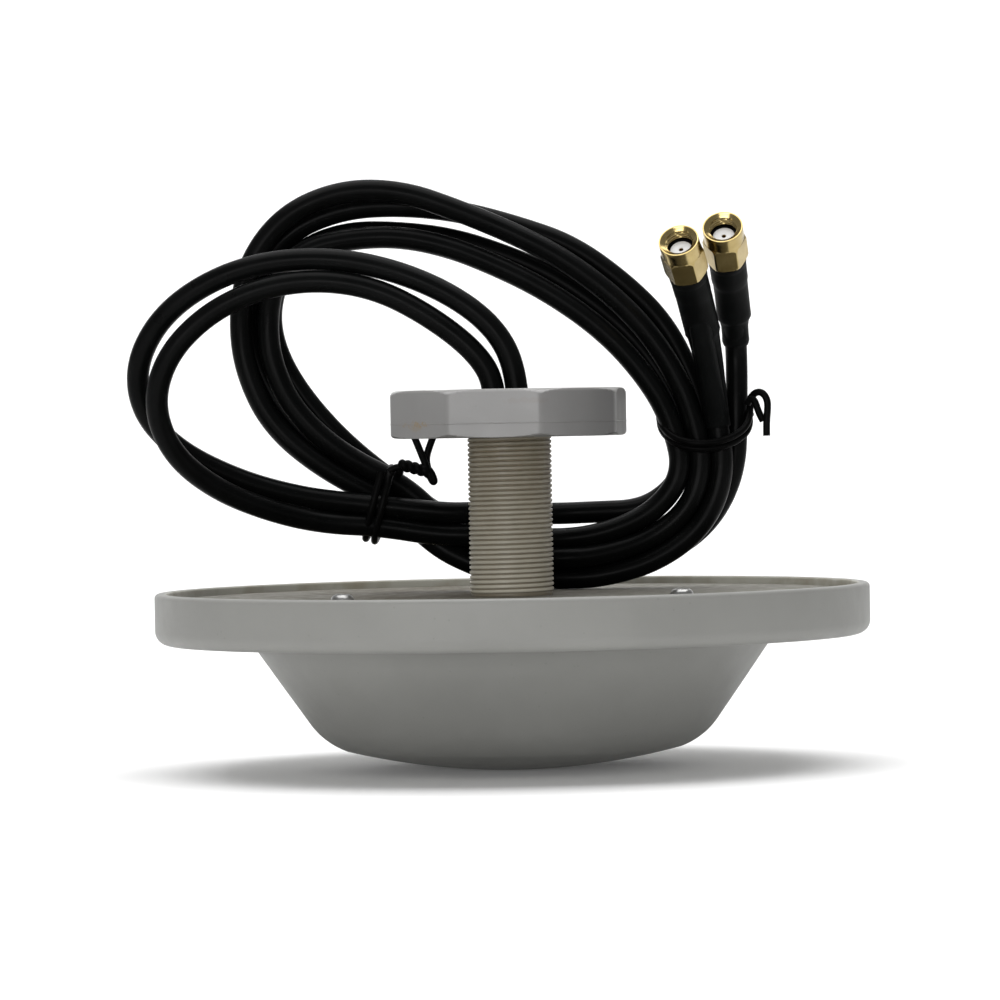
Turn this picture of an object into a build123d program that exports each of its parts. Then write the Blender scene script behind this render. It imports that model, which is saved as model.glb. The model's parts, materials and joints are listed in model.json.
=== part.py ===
"""Dome antenna with a threaded stem, an eight-sided fixing nut and two coaxial leads ending in screw connectors.

It stands on the middle of its dome, stem up. Millimetres, +Z up, origin under the stem where the dome rests.
"""

from build123d import *
import math
import os

os.makedirs("parts", exist_ok=True)

# Radome: a shallow dome under a round flange with an upstanding wall
rim_radius = 82.5
rim_top = 41.6
wall = 2.4
flange_underside = 29.8
dome_root_radius = 60.3
side_wall_radius = 79.7
ledge_radius = 77.5
rest_radius = 10.0
boss_circle = 44.5
boss_radius = 3.5
boss_angles = (90, 210, 330)

# Ground plate and the stem that stands on it
plate_top = 39.8
plate_thickness = 1.5
plate_radius = 79.4
stem_radius = 9.7
stem_bore = 6.5
stem_top = 86.8
spigot_radius = 8.0
spigot_bottom = 30.6
lock_nut_flats = 22.0
lock_nut_height = 4.0

# Fixing nut at the head of the stem
nut_bottom = 76.3
nut_height = 11.1
nut_sides = 8
nut_corner_radius = 28.4
nut_edge_round = 1.0
nut_turn = 15.0
nut_face_radius = 25.2
nut_top_turned = 2.0
nut_bottom_turned = 1.4
nut_bore = 9.78

# Screws
screw_head_radius = 2.7
screw_head_height = 1.5
screw_radius = 1.4

# Radiators hanging in the dome
board_x = 26.0
board_thickness = 1.0
board_half_width = 22.0
board_bottom = 10.0
bracket_thickness = 1.0
bracket_half_width = 6.0
bracket_reach = 10.0

# Coaxial leads
lead_radius = 2.5
lead_places = {"left": -3.8, "right": 1.4}
lead_joint = 80.0
coil_y = 38.0
coil_depth = 12.0

# Connectors: places of the mouths, and the way they all point
mouth_left = Vector(40.2, 11.0, 121.35)
mouth_right = Vector(50.7, 16.0, 124.45)
way_left = Vector(-0.195, -0.745, 0.638).normalized()
way_right = Vector(-0.11, -0.765, 0.632).normalized()
collar_radius = 4.75
collar_length = 3.8
hex_flats = 9.1
coupling_length = 10.9
port_radius = 3.17
tail_start = 17.2
sleeve_radius = {"left": 4.35, "right": 4.05}
tail_straight = 18.0

# Twist ties
tie_wire = 0.9


def save(part, name):
    """Label a finished piece and write it to its own file."""
    part.label = name
    export_step(part, f"parts/{name}.step")


def tube(points, radius, corner_radii):
    """A round tube along straight runs joined by tangent arcs."""
    with BuildPart() as piece:
        with BuildLine() as route:
            FilletPolyline(*points, radius=corner_radii)
        start = route.line @ 0
        way = route.line % 0
        with BuildSketch(Plane(origin=start, z_dir=way)):
            Circle(radius)
        sweep()
    return piece.part


def corner_radii(points):
    """For each corner, 0.45 of its shorter run over the tangent of half its turn."""
    radii = []
    for before, corner, after in zip(points, points[1:], points[2:]):
        run_in = Vector(*corner) - Vector(*before)
        run_out = Vector(*after) - Vector(*corner)
        half_turn = math.radians(run_in.get_angle(run_out)) / 2
        radii.append(0.45 * min(run_in.length, run_out.length) / math.tan(half_turn))
    return radii


def lead(points, name):
    """A free stretch of lead. Prints its bend radii and compares its volume with section times length."""
    radii = corner_radii(points)
    part = tube(points, lead_radius, radii)
    with BuildLine() as route:
        FilletPolyline(*points, radius=radii)
    length = route.wire().length
    section = math.pi * lead_radius**2
    print(name, "length", round(length, 1), "radii", [round(r, 1) for r in radii])
    print(name, "volume over section times length", round(part.volume / (section * length), 4))
    save(part, name)


# ---------------------------------------------------------------- radome
with BuildPart() as cavity:
    with BuildSketch(Plane.XZ):
        with BuildLine():
            floor = ThreePointArc((rest_radius, wall), (26.0, 4.3), (38.2, 7.4))
            Line((0, wall), floor @ 0)
            Line((0, wall), (0, rim_top + 1))
            Polyline(
                floor @ 1,
                (44.3, 11.4),
                (57.2, 29.6),
                (57.9, flange_underside + wall),
                (ledge_radius, flange_underside + wall),
                (ledge_radius, plate_top - plate_thickness),
                (side_wall_radius, plate_top - plate_thickness),
                (side_wall_radius, rim_top + 1),
                (0, rim_top + 1),
            )
        make_face()
    revolve(axis=Axis.Z)
    with BuildSketch(Plane.XY):
        for angle in boss_angles:
            with PolarLocations(boss_circle, 1, start_angle=angle):
                Circle(boss_radius)
    extrude(amount=plate_top - plate_thickness, mode=Mode.SUBTRACT)

with BuildPart() as radome:
    with BuildSketch(Plane.XZ):
        with BuildLine():
            belly = ThreePointArc((rest_radius, 0), (26.0, 1.9), (39.2, 4.7))
            Line((0, 0), belly @ 0)
            shoulder = Line((46.7, 10.3), (59.2, 28.2))
            ThreePointArc(belly @ 1, (43.5, 7.1), shoulder @ 0)
            root = ThreePointArc(shoulder @ 1, (59.9, 29.3), (61.2, flange_underside))
            skirt = Line(root @ 1, (rim_radius - 3.2, flange_underside))
            edge = ThreePointArc(
                skirt @ 1,
                (rim_radius - 0.94, flange_underside + 0.94),
                (rim_radius, flange_underside + 3.2),
            )
            Polyline(edge @ 1, (rim_radius, rim_top), (0, rim_top), (0, 0))
        make_face()
    revolve(axis=Axis.Z)
    add(cavity.part, mode=Mode.SUBTRACT)
    with BuildSketch(Plane.XY.offset(plate_top - plate_thickness)):
        for angle in boss_angles:
            with PolarLocations(boss_circle, 1, start_angle=angle):
                Circle(screw_radius + 0.05)
    extrude(amount=-12, mode=Mode.SUBTRACT)
    lip = radome.edges().filter_by(GeomType.CIRCLE).group_by(Axis.Z)[-1]
    fillet(lip.sort_by(SortBy.RADIUS)[-1], 1.0)
    lip = radome.edges().filter_by(GeomType.CIRCLE).group_by(Axis.Z)[-1]
    fillet(lip.sort_by(SortBy.RADIUS)[0], 0.5)
save(radome.part, "radome")

# ---------------------------------------------------------------- ground plate
bracket_screw_x = board_x - bracket_thickness - bracket_reach / 2
with BuildPart() as ground_plate:
    with BuildSketch(Plane.XY.offset(plate_top - plate_thickness)):
        Circle(plate_radius)
        Circle(spigot_radius + 0.1, mode=Mode.SUBTRACT)
        for angle in boss_angles:
            with PolarLocations(boss_circle, 1, start_angle=angle):
                Circle(screw_radius + 0.3, mode=Mode.SUBTRACT)
    extrude(amount=plate_thickness)
    with BuildSketch(Plane.XY.offset(plate_top - plate_thickness)):
        with GridLocations(2 * bracket_screw_x, 6.0, 2, 2):
            Circle(1.3)
    extrude(amount=1.2, mode=Mode.SUBTRACT)
    chamfer(ground_plate.edges().group_by(Axis.Z)[-1].sort_by(SortBy.RADIUS)[-1], 0.3)
save(ground_plate.part, "ground_plate")

# ---------------------------------------------------------------- stem and its nuts
with BuildPart() as threaded_stem:
    with BuildSketch(Plane.XY.offset(plate_top)):
        Circle(stem_radius)
    extrude(amount=stem_top - plate_top)
    chamfer(threaded_stem.edges().group_by(Axis.Z)[-1], 0.6)
    with BuildSketch(Plane.XY.offset(spigot_bottom)):
        Circle(spigot_radius)
    extrude(amount=plate_top - spigot_bottom)
    with BuildSketch(Plane.XY.offset(spigot_bottom)):
        Circle(stem_bore)
    extrude(amount=stem_top - spigot_bottom, mode=Mode.SUBTRACT)
save(threaded_stem.part, "threaded_stem")

with BuildPart() as stem_lock_nut:
    with BuildSketch(Plane.XY.offset(plate_top - plate_thickness - lock_nut_height)):
        RegularPolygon(lock_nut_flats / 2, 6, major_radius=False)
        Circle(spigot_radius + 0.05, mode=Mode.SUBTRACT)
    extrude(amount=lock_nut_height)
save(stem_lock_nut.part, "stem_lock_nut")

nut_top = nut_bottom + nut_height
with BuildPart() as fixing_nut:
    with BuildSketch(Plane.XY.offset(nut_bottom)) as nut_outline:
        RegularPolygon(nut_corner_radius, nut_sides, rotation=nut_turn)
        fillet(nut_outline.vertices(), nut_edge_round)
    extrude(amount=nut_height)
    with BuildSketch(Plane.XZ):
        with BuildLine():
            lower = Line((0, nut_bottom), (nut_face_radius, nut_bottom))
            low_edge = EllipticalCenterArc(
                (nut_face_radius, nut_bottom + nut_bottom_turned),
                nut_corner_radius - nut_face_radius,
                nut_bottom_turned,
                start_angle=270,
                arc_size=90,
            )
            high_edge = EllipticalCenterArc(
                (nut_face_radius, nut_top - nut_top_turned),
                nut_corner_radius - nut_face_radius,
                nut_top_turned,
                start_angle=0,
                arc_size=90,
            )
            Line(low_edge @ 1, high_edge @ 0)
            Polyline(high_edge @ 1, (0, nut_top), lower @ 0)
        make_face()
    revolve(axis=Axis.Z, mode=Mode.INTERSECT)
    with BuildSketch(Plane.XY.offset(nut_bottom)):
        Circle(nut_bore)
    extrude(amount=nut_height, mode=Mode.SUBTRACT)
save(fixing_nut.part, "fixing_nut")

# ---------------------------------------------------------------- screws
with BuildPart() as plate_screws:
    with BuildSketch(Plane.XY.offset(plate_top)):
        for angle in boss_angles:
            with PolarLocations(boss_circle, 1, start_angle=angle):
                Circle(screw_head_radius)
    extrude(amount=screw_head_height)
    fillet(plate_screws.edges().group_by(Axis.Z)[-1], 1.0)
    with BuildSketch(Plane.XY.offset(plate_top)):
        for angle in boss_angles:
            with PolarLocations(boss_circle, 1, start_angle=angle):
                Circle(screw_radius)
    extrude(amount=-10)
    with BuildSketch(Plane.XY.offset(plate_top + screw_head_height)):
        for angle in boss_angles:
            with PolarLocations(boss_circle, 1, start_angle=angle):
                Rectangle(3.0, 0.7)
                Rectangle(0.7, 3.0)
    extrude(amount=-0.8, mode=Mode.SUBTRACT)
save(plate_screws.part, "plate_screws")

# ---------------------------------------------------------------- radiators
plate_underside = plate_top - plate_thickness
for side, word in ((-1, "left"), (1, "right")):
    inner_face = Plane(origin=(side * board_x, 0, 0), x_dir=(0, side, 0), z_dir=(side, 0, 0))
    with BuildPart() as board:
        with BuildSketch(inner_face):
            with BuildLine():
                Polyline(
                    (-board_half_width, plate_underside - 6.0),
                    (-board_half_width, 20.0),
                    (-9.0, board_bottom),
                    (9.0, board_bottom),
                    (board_half_width, 20.0),
                    (board_half_width, plate_underside - 6.0),
                    (bracket_half_width, plate_underside - 0.8),
                    (-bracket_half_width, plate_underside - 0.8),
                    close=True,
                )
            make_face()
            with Locations((0, 24.0)):
                SlotOverall(16.0, 3.0, mode=Mode.SUBTRACT)
        extrude(amount=board_thickness)
    save(board.part, f"radiator_board_{word}")

    with BuildPart() as bracket:
        with BuildSketch(Plane.XZ.offset(-bracket_half_width)):
            with BuildLine():
                Polyline(
                    (side * board_x, plate_underside),
                    (side * (board_x - bracket_thickness - bracket_reach), plate_underside),
                    (
                        side * (board_x - bracket_thickness - bracket_reach),
                        plate_underside - bracket_thickness,
                    ),
                    (
                        side * (board_x - bracket_thickness),
                        plate_underside - bracket_thickness,
                    ),
                    (side * (board_x - bracket_thickness), 28.0),
                    (side * board_x, 28.0),
                    close=True,
                )
            make_face()
        extrude(amount=2 * bracket_half_width)
        with BuildSketch(Plane.XY.offset(plate_underside)):
            with Locations((side * bracket_screw_x, 3.0), (side * bracket_screw_x, -3.0)):
                Circle(1.35)
        extrude(amount=-bracket_thickness, mode=Mode.SUBTRACT)
    save(bracket.part, f"board_bracket_{word}")

    with BuildPart() as lug:
        with BuildSketch(inner_face.offset(-0.8)):
            with Locations((0, 17.0)):
                RectangleRounded(6.0, 5.0, 1.0)
        extrude(amount=0.8)
    save(lug.part, f"feed_lug_{word}")

    inner_route = [
        (lead_places[word], 0, lead_joint),
        (lead_places[word], 0, 27.0),
        (side * 8.0, 0, 17.0),
        (side * (board_x - 0.8), 0, 17.0),
    ]
    save(tube(inner_route, lead_radius, [12.0, 7.0]), f"inner_lead_{word}")

with BuildPart() as bracket_screws:
    with BuildSketch(Plane.XY.offset(plate_underside - bracket_thickness)):
        with GridLocations(2 * bracket_screw_x, 6.0, 2, 2):
            Circle(2.2)
    extrude(amount=-1.4)
    with BuildSketch(Plane.XY.offset(plate_underside - bracket_thickness)):
        with GridLocations(2 * bracket_screw_x, 6.0, 2, 2):
            Circle(1.25)
    extrude(amount=bracket_thickness + 1.1)
save(bracket_screws.part, "bracket_screws")

with BuildPart() as isolation_strip:
    with BuildSketch(Plane.YZ.offset(-0.5)):
        with BuildLine():
            Polyline(
                (16.0, plate_underside),
                (36.0, plate_underside),
                (36.0, 18.0),
                (28.0, 9.0),
                (16.0, 9.0),
                close=True,
            )
        make_face()
    extrude(amount=1.0)
    with BuildSketch(Plane.XY.offset(plate_underside)):
        with Locations((4.0, 26.0)):
            Rectangle(8.0, 14.0)
    extrude(amount=-1.0)
save(isolation_strip.part, "isolation_strip")

# ---------------------------------------------------------------- sealing plug round the leads
with BuildPart() as lead_grommet:
    with BuildSketch(Plane.XY.offset(stem_top - 7.0)):
        Circle(stem_bore - 0.03)
        with Locations([(place, 0) for place in lead_places.values()]):
            Circle(lead_radius + 0.04, mode=Mode.SUBTRACT)
    extrude(amount=6.0)
save(lead_grommet.part, "lead_grommet")

# ---------------------------------------------------------------- free leads
# From the stem head up, over to the left and down into the left tie
loop_right_points = [
    (lead_places["right"], 0, lead_joint),
    (lead_places["right"], 0, 92),
    (-4.5, 0, 103),
    (-16, 1, 111.5),
    (-33, 3, 117.5),
    (-50, 6, 118.7),
    (-66, 9.5, 115.5),
    (-80, 13.5, 107),
    (-87.5, 18, 95),
    (-86.5, 22, 84),
    (-78, 26, 75.5),
    (-64, 29, 68.5),
    (-48, 32, 64),
    (-34, 34, 61.3),
]
loop_left_points = [
    (lead_places["left"], 0, lead_joint),
    (lead_places["left"], 0, 91),
    (-10, 0, 100),
    (-24, 1, 109),
    (-42, 3, 113.5),
    (-57, 5, 111.8),
    (-70, 8, 106),
    (-79.5, 10, 96.5),
    (-83, 13, 85),
    (-79, 17, 73.5),
    (-69, 22, 65),
    (-56, 27, 59.5),
    (-44, 31, 57),
    (-34, 34, 55.9),
]
lead(loop_right_points, "lead_loop_right")
lead(loop_left_points, "lead_loop_left")

# The wound and tied part: the outer shape of its turns
outer_shape = [
    (-36, 53),
    (-52, 72),
    (-64.5, 90),
    (-66, 108),
    (-58, 129),
    (-40, 137.5),
    (-14, 135),
    (18, 120.5),
    (38, 105),
    (50, 88),
    (57, 74),
    (53, 58),
    (38, 45),
    (10, 40.4),
    (-14, 47),
]
inner_shape = [
    (-27, 69),
    (-43, 86),
    (-51.5, 102),
    (-49, 114),
    (-38, 119),
    (-22, 118.5),
    (-2, 113.5),
    (18, 101.5),
    (34, 84),
    (38, 72),
    (32, 61.5),
    (8, 60.5),
    (-14, 61),
]
with BuildPart() as lead_coil:
    with BuildSketch(Plane.XZ.offset(-coil_y - coil_depth / 2)):
        with BuildLine():
            Spline(*outer_shape, periodic=True)
        make_face()
        with BuildLine():
            Spline(*inner_shape, periodic=True)
        make_face(mode=Mode.SUBTRACT)
    extrude(amount=coil_depth)
save(lead_coil.part, "lead_coil")

# ---------------------------------------------------------------- connectors and their leads
def side_of(way):
    """The direction square to a connector's axis that lies nearest to X."""
    return way.cross(Vector(1, 0, 0).cross(way)).normalized()


def turned(mouth, way, outline, name):
    """A round piece on the connector's axis. Outline points are (radius, depth behind the mouth)."""
    section = Plane(origin=mouth, x_dir=side_of(way), z_dir=side_of(way).cross(way))
    with BuildPart() as piece:
        with BuildSketch(section):
            with BuildLine():
                Polyline(*[(radius, -depth) for radius, depth in outline], close=True)
            make_face()
        revolve(axis=Axis(mouth, way))
    save(piece.part, name)


for mouth, way, word in ((mouth_left, way_left, "left"), (mouth_right, way_right, "right")):
    side_way = side_of(way)
    with BuildPart() as coupling_nut:
        with BuildSketch(Plane(origin=mouth, x_dir=side_way, z_dir=-way)):
            Circle(collar_radius)
        extrude(amount=collar_length)
        hex_start = mouth - way * (collar_length - 0.2)
        with BuildSketch(Plane(origin=hex_start, x_dir=side_way, z_dir=-way)):
            RegularPolygon(hex_flats / 2, 6, major_radius=False)
        extrude(amount=coupling_length - collar_length + 0.2)
        with BuildSketch(Plane(origin=mouth, x_dir=side_way, z_dir=side_way.cross(way))):
            with BuildLine():
                Polyline(
                    (0, 0),
                    (4.25, 0),
                    (port_radius, -1.0),
                    (port_radius, -3.0),
                    (3.35, -3.0),
                    (3.35, -7.0),
                    (2.7, -7.0),
                    (2.7, -coupling_length),
                    (0, -coupling_length),
                    close=True,
                )
            make_face()
        revolve(axis=Axis(mouth, way), mode=Mode.SUBTRACT)
    save(coupling_nut.part, f"coupling_nut_{word}")

    turned(
        mouth,
        way,
        [
            (2.52, 3.3),
            (2.8, 3.3),
            (2.8, 4.3),
            (3.2, 4.3),
            (3.2, 5.2),
            (2.6, 5.2),
            (2.6, 11.2),
            (3.4, 11.2),
            (3.4, 12.2),
            (2.0, 12.2),
            (2.0, 17.0),
            (1.5, 17.0),
            (1.5, 9.1),
            (2.52, 9.1),
        ],
        f"connector_body_{word}",
    )
    turned(mouth, way, [(0.64, 3.2), (2.5, 3.2), (2.5, 9.0), (0.64, 9.0)], f"insulator_{word}")
    turned(
        mouth,
        way,
        [(0.45, 3.4), (0.62, 3.4), (0.62, 16.0), (0, 16.0), (0, 7.5), (0.45, 7.5)],
        f"centre_contact_{word}",
    )
    turned(mouth, way, [(2.84, 3.5), (3.3, 3.5), (3.3, 4.26), (2.84, 4.26)], f"gasket_{word}")
    turned(mouth, way, [(2.63, 6.2), (3.2, 6.2), (3.2, 6.7), (2.63, 6.7)], f"snap_ring_{word}")
    turned(mouth, way, [(2.6, 12.4), (3.2, 12.4), (3.2, 19.5), (2.6, 19.5)], f"crimp_ferrule_{word}")
    sleeve = sleeve_radius[word]
    turned(
        mouth,
        way,
        [
            (3.45, 11.3),
            (sleeve, 11.3),
            (sleeve - 0.15, 19.0),
            (sleeve - 0.15, 27.0),
            (2.55, 27.0),
            (2.55, 21.5),
            (3.25, 20.0),
            (3.45, 12.4),
        ],
        f"heat_shrink_{word}",
    )

tail_left_points = [
    mouth_left - way_left * tail_start,
    mouth_left - way_left * (tail_start + tail_straight),
    (46.4, 35.4, 78.5),
]
tail_right_points = [
    mouth_right - way_right * tail_start,
    mouth_right - way_right * (tail_start + tail_straight),
    (54.0, 40.4, 82.0),
]
lead([tuple(Vector(p)) for p in tail_left_points], "lead_tail_left")
lead([tuple(Vector(p)) for p in tail_right_points], "lead_tail_right")

# ---------------------------------------------------------------- twist ties
tie_left_way = Vector(0.955, 0, -0.298).normalized()
tie_left_middle = Vector(-30.5, coil_y - 1.0, 60.7)
tie_right_way = Vector(-0.10, -0.66, 0.75).normalized()
tie_right_middle = Vector(46.5, coil_y, 79.5)


def tie(middle, way, width_way, width, height, ends, name):
    """Two turns of wire round the bundle and the wire's loose ends, each a short route."""
    with BuildPart() as piece:
        for shift in (-1.1, 1.1):
            plane = Plane(origin=middle + way * shift, x_dir=width_way, z_dir=way)
            with BuildSketch(plane):
                RectangleRounded(width + tie_wire, height + tie_wire, 5.0)
                RectangleRounded(width - tie_wire, height - tie_wire, 4.0, mode=Mode.SUBTRACT)
            extrude(amount=0.8, both=True)
        for route, radii in ends:
            add(tube(route, tie_wire, radii))
    save(piece.part, name)


left_tail = [
    (-28.5, 28.8, 66.0),
    (-23.5, 28.8, 67.0),
    (-18.5, 29.5, 65.5),
    (-20.0, 30.2, 71.5),
    (-23.6, 30.5, 78.5),
]
left_branch = [(-20.5, 29.5, 70.0), (-20.2, 30.4, 73.5), (-17.8, 30.6, 78.5)]
right_tail = [(57.6, 37.0, 79.0), (57.4, 34.5, 85.5), (61.4, 34.0, 85.5), (61.4, 34.0, 75.5)]
tie(
    tie_left_middle,
    tie_left_way,
    Vector(0, 1, 0),
    16.5,
    19.5,
    [
        (left_tail, [3.0, 1.2, 4.0]),
        (left_branch, [3.0]),
    ],
    "twist_tie_left",
)
tie(
    tie_right_middle,
    tie_right_way,
    Vector(1, 0, 0),
    22.5,
    21.0,
    [(right_tail, [1.6, 1.6])],
    "twist_tie_right",
)
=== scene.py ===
"""Looks of the dome antenna: a radome with its ground plate, a threaded stem with an eight-sided nut, and
two coaxial leads that are wound together and tied.

Lengths are written in millimetres and become metres where the meshes and curves are made. The camera, the
lamps and the backdrop are placed in metres.
"""

import json
import math
from functools import partial

import bmesh
import bpy
from mathutils import Matrix, Vector, noise


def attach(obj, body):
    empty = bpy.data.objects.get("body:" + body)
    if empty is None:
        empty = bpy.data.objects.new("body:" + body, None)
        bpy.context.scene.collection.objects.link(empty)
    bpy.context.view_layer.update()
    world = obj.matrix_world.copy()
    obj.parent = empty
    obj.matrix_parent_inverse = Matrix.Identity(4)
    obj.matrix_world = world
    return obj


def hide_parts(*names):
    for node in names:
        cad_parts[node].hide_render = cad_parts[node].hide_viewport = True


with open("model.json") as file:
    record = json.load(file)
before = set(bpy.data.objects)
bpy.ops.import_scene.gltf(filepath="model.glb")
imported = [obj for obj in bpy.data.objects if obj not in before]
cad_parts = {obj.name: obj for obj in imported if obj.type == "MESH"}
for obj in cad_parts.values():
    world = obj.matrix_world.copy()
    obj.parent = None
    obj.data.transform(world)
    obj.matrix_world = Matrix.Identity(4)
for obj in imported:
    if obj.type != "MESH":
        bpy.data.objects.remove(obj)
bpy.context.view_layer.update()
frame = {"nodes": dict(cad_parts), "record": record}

MM = 0.001

# ---------------------------------------------------------------- sizes that several sections use
plate_bottom = 38.3
plate_top = 39.8
rim_top = 41.6
stem_radius = 9.7
nut_bottom = 76.3
nut_top = 87.4
parting_height = 79.6

# ---------------------------------------------------------------- camera
camera_place = Vector((0, -1.3, 0.08058))
yaw = math.radians(-0.106)
pitch = math.radians(0.828)
roll = math.radians(1.022)
gaze = Vector((math.sin(yaw) * math.cos(pitch), math.cos(yaw) * math.cos(pitch), -math.sin(pitch)))
level = gaze.cross(Vector((0, 0, 1))).normalized()
plumb = level.cross(gaze)
camera_right = level * math.cos(roll) - plumb * math.sin(roll)
camera_up = level * math.sin(roll) + plumb * math.cos(roll)
camera_data = bpy.data.cameras.new("camera")
camera_data.lens = 202.6
camera_data.sensor_width = 36.0
camera_data.clip_end = 50.0
camera = bpy.data.objects.new("camera", camera_data)
bpy.context.collection.objects.link(camera)
camera.matrix_world = Matrix.Translation(camera_place) @ Matrix(
    (camera_right, camera_up, -gaze)
).transposed().to_4x4()
bpy.context.scene.camera = camera
bpy.context.scene.view_settings.view_transform = "Standard"


# ---------------------------------------------------------------- material helpers
class Finish:
    """A node material on the row frame's own coordinates, in millimetres."""

    def __init__(self, name, **constants):
        self.material = bpy.data.materials.new(name)
        self.material.use_nodes = True
        self.tree = self.material.node_tree
        self.shader = self.tree.nodes["Principled BSDF"]
        for socket, value in constants.items():
            self.shader.inputs[socket.replace("_", " ")].default_value = value
        spot = self.tree.nodes.new("ShaderNodeTexCoord").outputs["Object"]
        self.spot = self.vector("SCALE", spot, scale=1 / MM)

    def node(self, kind, inputs, output, **settings):
        """Adds a node. Inputs go by socket name or number, and a socket given as a value is linked."""
        made = self.tree.nodes.new(kind)
        for key, value in settings.items():
            setattr(made, key, value)
        for key, value in inputs.items():
            if isinstance(value, bpy.types.NodeSocket):
                self.tree.links.new(value, made.inputs[key])
            else:
                made.inputs[key].default_value = value
        return made.outputs[output]

    def vector(self, operation, first, second=None, scale=None):
        inputs = {0: first}
        if second is not None:
            inputs[1] = second
        if scale is not None:
            inputs["Scale"] = scale
        output = "Value" if operation == "LENGTH" else "Vector"
        return self.node("ShaderNodeVectorMath", inputs, output, operation=operation)

    def maths(self, operation, first, second=0.0):
        return self.node("ShaderNodeMath", {0: first, 1: second}, "Value", operation=operation)

    def noise(self, size, detail=2.0, stretch=(1, 1, 1), distortion=0.0):
        """Noise with features about size millimetres across, stretched along the axes."""
        place = self.vector("DIVIDE", self.spot, tuple(size * s for s in stretch))
        inputs = {"Vector": place, "Scale": 1.0, "Detail": detail, "Distortion": distortion}
        return self.node("ShaderNodeTexNoise", inputs, "Fac")

    def cells(self, size):
        """Distance to the middle of scattered cells about size millimetres apart."""
        place = self.vector("DIVIDE", self.spot, (size,) * 3)
        return self.node("ShaderNodeTexVoronoi", {"Vector": place, "Scale": 1.0}, "Distance")

    def span(self, value, low, high, out_low=0.0, out_high=1.0):
        """Value from low to high becomes out_low to out_high, and stays there outside."""
        inputs = {
            "Value": value,
            "From Min": low,
            "From Max": high,
            "To Min": out_low,
            "To Max": out_high,
        }
        return self.node("ShaderNodeMapRange", inputs, "Result", clamp=True)

    def mix(self, factor, first, second):
        """Colours are three numbers or sockets."""
        inputs = {0: factor, 6: self.colour(first), 7: self.colour(second)}
        return self.node("ShaderNodeMix", inputs, 2, data_type="RGBA")

    def colour(self, value):
        return value if isinstance(value, bpy.types.NodeSocket) else (*value, 1.0)

    def part(self, axis):
        """One coordinate, in millimetres."""
        return self.node("ShaderNodeSeparateXYZ", {0: self.spot}, axis)

    def from_axis(self):
        """The distance from the stem's axis, in millimetres."""
        return self.vector("LENGTH", self.vector("MULTIPLY", self.spot, (1, 1, 0)))

    def base(self):
        """The socket that gives the base colour so far."""
        return self.shader.inputs["Base Color"].links[0].from_socket

    def blotch(self, middle, size, edge=0.35, grain=1.2):
        """1 inside a ragged spot with those half sizes, 0 outside."""
        away = self.vector("DIVIDE", self.vector("SUBTRACT", self.spot, middle), size)
        reach = self.vector("LENGTH", away)
        ragged = self.maths("ADD", reach, self.span(self.noise(grain, 3.0), 0.3, 0.7, -0.55, 0.55))
        return self.span(ragged, 1.0 - edge, 1.0 + edge, 1.0, 0.0)

    def bump(self, *layers):
        """Layers are (height, millimetres)."""
        normal = None
        for height, depth in layers:
            inputs = {"Height": height, "Distance": depth * MM, "Strength": 1.0}
            if normal is not None:
                inputs["Normal"] = normal
            normal = self.node("ShaderNodeBump", inputs, "Normal")
        self.use(Normal=normal)

    def use(self, **sockets):
        for socket, value in sockets.items():
            self.tree.links.new(value, self.shader.inputs[socket.replace("_", " ")])


def moulded(name, dark, light, rough, grain, grain_depth=0.02, patch=10.0, speckle=0.0, specular=0.5):
    """Moulded plastic or rubber: slow colour drift, fine grain, faint uneven gloss and optional specks."""
    finish = Finish(name, Specular_IOR_Level=specular)
    base = finish.mix(finish.span(finish.noise(patch, 3.0), 0.35, 0.65), dark, light)
    if speckle:
        seen = finish.span(finish.cells(3.4), 0.05, 0.09, speckle, 0.0)
        base = finish.mix(seen, base, tuple(0.4 * c for c in dark))
    gloss = finish.span(finish.noise(6.0, 4.0), 0.3, 0.7, rough - 0.05, rough + 0.05)
    finish.use(Base_Color=base, Roughness=gloss)
    finish.bump((finish.noise(grain, 2.0), grain_depth), (finish.noise(9.0, 2.0), 0.05))
    return finish


def plated(name, dark, light, rough, stretch=(1, 1, 1), lines=0.35, line_depth=0.004):
    """Metal with fine tool or rolling lines, a soft tarnish drift and smudged gloss."""
    finish = Finish(name, Metallic=1.0)
    base = finish.mix(finish.span(finish.noise(4.0, 3.0), 0.35, 0.7), dark, light)
    gloss = finish.span(finish.noise(2.6, 4.0), 0.3, 0.75, 0.8 * rough, 1.3 * rough)
    finish.use(Base_Color=base, Roughness=gloss)
    finish.bump((finish.noise(lines, 2.0, stretch), line_depth))
    return finish


# ---------------------------------------------------------------- materials
# Radome: light grey, and inside the rim lighter and yellowed with brownish smudges
radome_finish = moulded(
    "radome_plastic",
    dark=(0.222, 0.222, 0.209),
    light=(0.243, 0.243, 0.229),
    rough=0.52,
    grain=0.55,
    grain_depth=0.03,
    patch=30.0,
    speckle=0.16,
)
smudge = radome_finish.span(radome_finish.noise(9.0, 3.0), 0.48, 0.66, 0.0, 0.6)
yellowed = radome_finish.mix(smudge, (0.43, 0.42, 0.365), (0.25, 0.215, 0.145))
within_rim = radome_finish.maths(
    "MULTIPLY",
    radome_finish.span(radome_finish.from_axis(), 79.75, 80.4, 1.0, 0.0),
    radome_finish.span(radome_finish.part("Z"), 35.0, 37.0),
)
radome_finish.use(Base_Color=radome_finish.mix(within_rim, radome_finish.base(), yellowed))

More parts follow.
